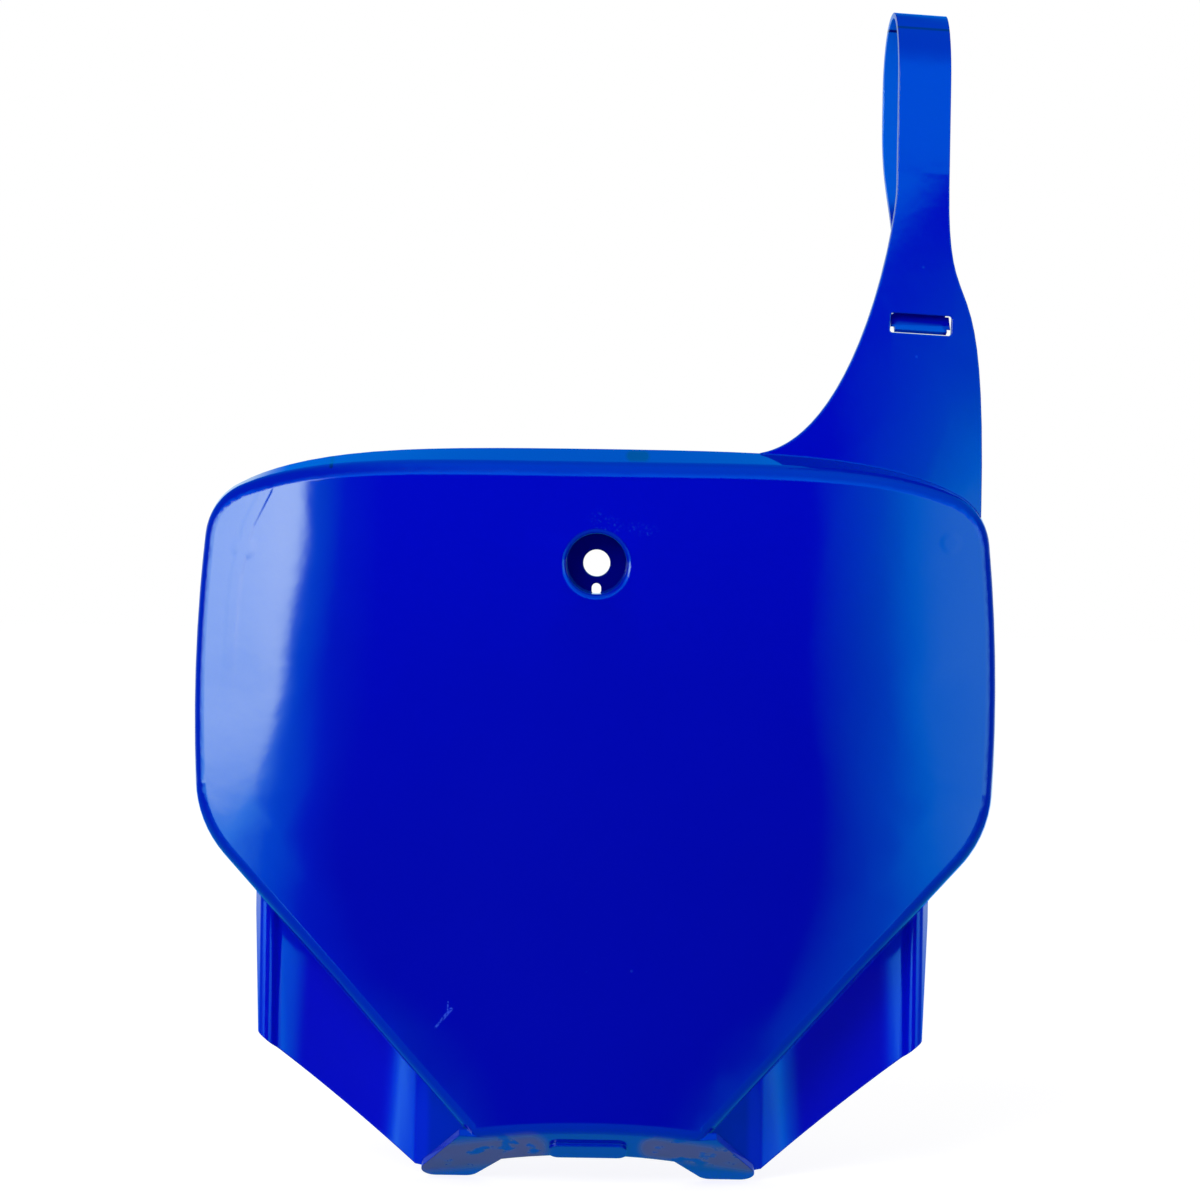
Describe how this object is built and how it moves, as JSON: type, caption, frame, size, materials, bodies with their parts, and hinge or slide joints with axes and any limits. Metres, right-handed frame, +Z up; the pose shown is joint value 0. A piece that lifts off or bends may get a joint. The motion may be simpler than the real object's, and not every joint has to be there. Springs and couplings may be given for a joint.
{
  "type": "racing number board",
  "caption": "Curved front number board for an off-road motorbike: shallow shell with a bolt recess, tray-like lower lugs, footed chin and an arm whose strap loops back into a slot.",
  "frame": {"origin": "middle of the bolt hole, at the seat of the recess where the bolt's head bears", "axes": "+Z up as the board hangs on the bike, -Y out of the front of the face, +X to the right as seen from the front"},
  "size_m": [0.2506, 0.0512, 0.3648],
  "materials": {
    "number_board": "glossy injection-moulded blue plastic"
  },
  "bodies": {
    "root": {"number_board": "number_board"}
  },
  "joints": []
}
